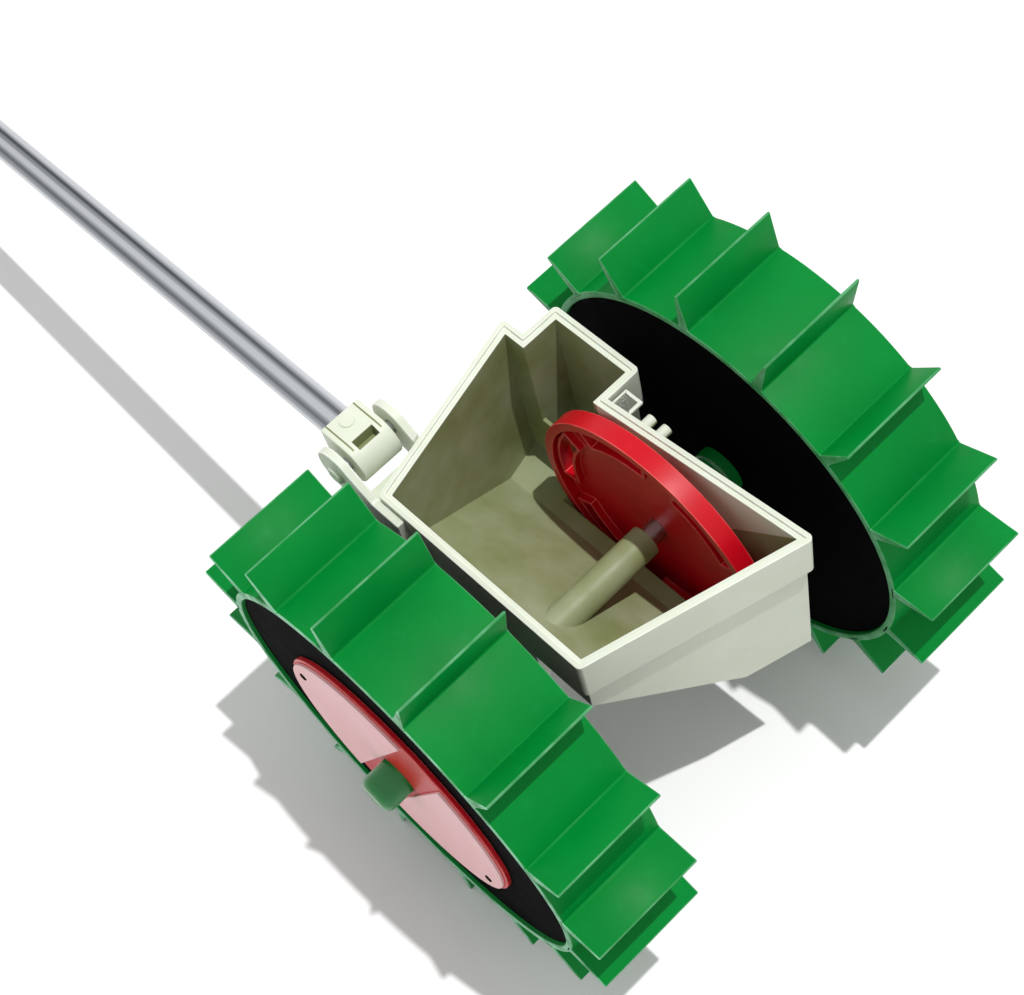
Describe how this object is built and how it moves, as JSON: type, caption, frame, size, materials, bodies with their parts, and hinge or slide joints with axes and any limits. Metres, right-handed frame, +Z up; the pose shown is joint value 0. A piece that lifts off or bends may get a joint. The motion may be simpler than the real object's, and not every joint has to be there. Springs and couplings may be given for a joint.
{
  "type": "hand seeder",
  "caption": "Push seeder with blade-lugged drum wheels on an axle, a slanted seed hopper with an upright seed disc between them, and a long hinged tube handle.",
  "frame": {"origin": "on the floor, below the middle of the machine's overall length, midway between the wheels", "axes": "+X in the direction of travel, +Y to the left, +Z up; the axle runs along Y"},
  "size_m": [1.3876, 0.276, 0.2356],
  "materials": {
    "green_plastic": "moulded gloss",
    "black_plastic": "moulded matt",
    "cream_plastic": "moulded satin",
    "red_plastic": "moulded gloss",
    "pink_plastic": "moulded satin",
    "tube_aluminium": "drawn, satin",
    "plated_steel": "zinc plated",
    "grip_rubber": "moulded matt"
  },
  "bodies": {
    "hopper": {"hopper_shell": "cream_plastic", "drop_chute": "cream_plastic", "handle_clevis": "cream_plastic", "pivot_bolt": "plated_steel"},
    "left_wheel": {"left_wheel_rim": "green_plastic", "left_wheel_web": "black_plastic", "left_wheel_hub": "green_plastic", "left_spare_disc": "red_plastic", "left_disc_plates": "pink_plastic", "axle": "plated_steel", "seed_disc": "red_plastic"},
    "right_wheel": {"right_wheel_rim": "green_plastic", "right_wheel_web": "black_plastic", "right_wheel_hub": "green_plastic", "right_spare_disc": "red_plastic", "right_disc_plates": "pink_plastic"},
    "handle": {"handle_socket": "cream_plastic", "handle_tube": "tube_aluminium", "handle_grip": "grip_rubber"}
  },
  "joints": [
    {"name": "left_wheel_spin", "type": "hinge", "parent": "hopper", "child": "left_wheel", "pos_m": [0.57594, 0.096, 0.11781], "axis": [0, 1, 0], "continuous": true},
    {"name": "right_wheel_spin", "type": "hinge", "parent": "hopper", "child": "right_wheel", "pos_m": [0.57594, -0.096, 0.11781], "axis": [0, 1, 0], "continuous": true},
    {"name": "handle_pivot", "type": "hinge", "parent": "hopper", "child": "handle", "pos_m": [0.47807, -0.041, 0.16714], "axis": [0, 1, 0], "range_deg": [0, 90]}
  ]
}
